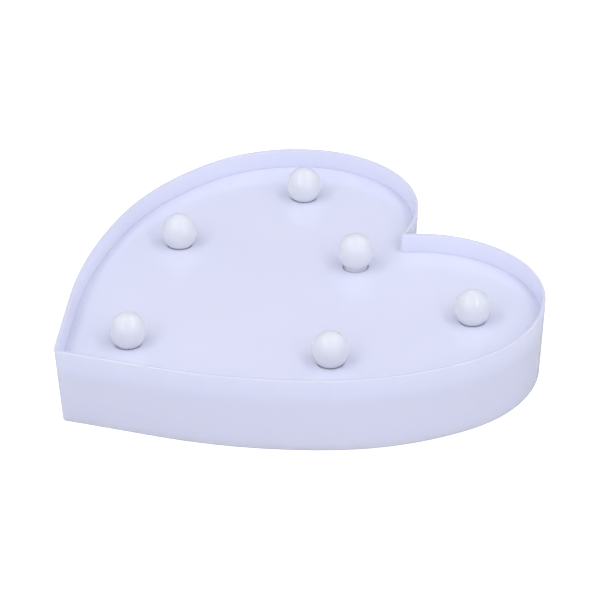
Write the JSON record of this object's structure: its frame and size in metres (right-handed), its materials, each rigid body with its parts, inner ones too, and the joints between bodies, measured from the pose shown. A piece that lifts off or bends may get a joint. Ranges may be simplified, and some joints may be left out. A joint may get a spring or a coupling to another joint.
{
  "type": "heart marquee light",
  "caption": "Heart-shaped white plastic marquee light: sunk face panel with globe bulbs, hidden lamps and wiring, battery bay with hooked door, slide switch, keyhole back.",
  "frame": {"origin": "on the back plane that the light lies or hangs against, at the centre of the heart's outline", "axes": "+Z out of the face, the point of the heart towards -Y, the two lobes towards +Y; the heart is symmetric about X = 0"},
  "size_m": [0.178, 0.1736, 0.0365],
  "materials": {
    "shell_plastic": "glossy slightly translucent white moulding",
    "cover_plastic": "satin white moulding",
    "bulb_plastic": "milky translucent white",
    "led_epoxy": "clear water-white epoxy",
    "holder_plastic": "satin white moulding",
    "tinned_wire": "bright tinned",
    "solder": "dull bright solder",
    "red_insulation": "soft PVC insulation",
    "black_insulation": "soft PVC insulation",
    "board_laminate": "brown paper laminate",
    "resistor_body": "lacquered",
    "zinc_screw": "zinc plated",
    "nickel_strip": "nickel plated spring strip",
    "spring_wire": "nickel plated spring wire",
    "cell_steel": "plated steel can",
    "cell_wrap": "printed film sleeve, plain",
    "switch_steel": "tin plated frame",
    "switch_laminate": "brown phenolic",
    "knob_plastic": "black moulding"
  },
  "bodies": {
    "housing": {"back_cover": "cover_plastic", "battery_tray": "cover_plastic", "bulb_lobe_left": "bulb_plastic", "bulb_lobe_right": "bulb_plastic", "bulb_notch": "bulb_plastic", "bulb_side_left": "bulb_plastic", "bulb_side_right": "bulb_plastic", "bulb_tip": "bulb_plastic", "cell_lower_can": "cell_steel", "cell_lower_wrap": "cell_wrap", "cell_upper_can": "cell_steel", "cell_upper_wrap": "cell_wrap", "circuit_board": "board_laminate", "contact_bridge": "nickel_strip", "contact_negative": "nickel_strip", "contact_positive": "nickel_strip", "cover_screws": "zinc_screw", "feed_wire_black": "black_insulation", "feed_wire_red": "red_insulation", "front_shell": "shell_plastic", "led_holders": "holder_plastic", "led_leads": "tinned_wire", "led_lobe_left": "led_epoxy", "led_lobe_right": "led_epoxy", "led_notch": "led_epoxy", "led_side_left": "led_epoxy", "led_side_right": "led_epoxy", "led_tip": "led_epoxy", "resistor": "resistor_body", "resistor_leads": "tinned_wire", "ring_wire_black": "black_insulation", "ring_wire_red": "red_insulation", "solder_beads": "solder", "spring_lower": "spring_wire", "spring_upper": "spring_wire", "switch_base": "switch_laminate", "switch_frame": "switch_steel", "switch_pins": "tinned_wire", "switch_screws": "zinc_screw", "switched_wire_red": "red_insulation", "tray_screws": "zinc_screw"},
    "switch_slider": {"switch_knob": "knob_plastic"},
    "battery_door": {"battery_door": "cover_plastic", "battery_door_latch": "cover_plastic"}
  },
  "joints": [
    {"name": "switch_slide", "type": "slide", "parent": "housing", "child": "switch_slider", "axis": [1, 0, 0], "range_m": [0, 0.003]},
    {"name": "battery_door_hinge", "type": "hinge", "parent": "housing", "child": "battery_door", "pos_m": [0, -0.0191, 0], "axis": [-1, 0, 0], "range_deg": [0, 100], "deforming": ["battery_door_latch"]}
  ]
}
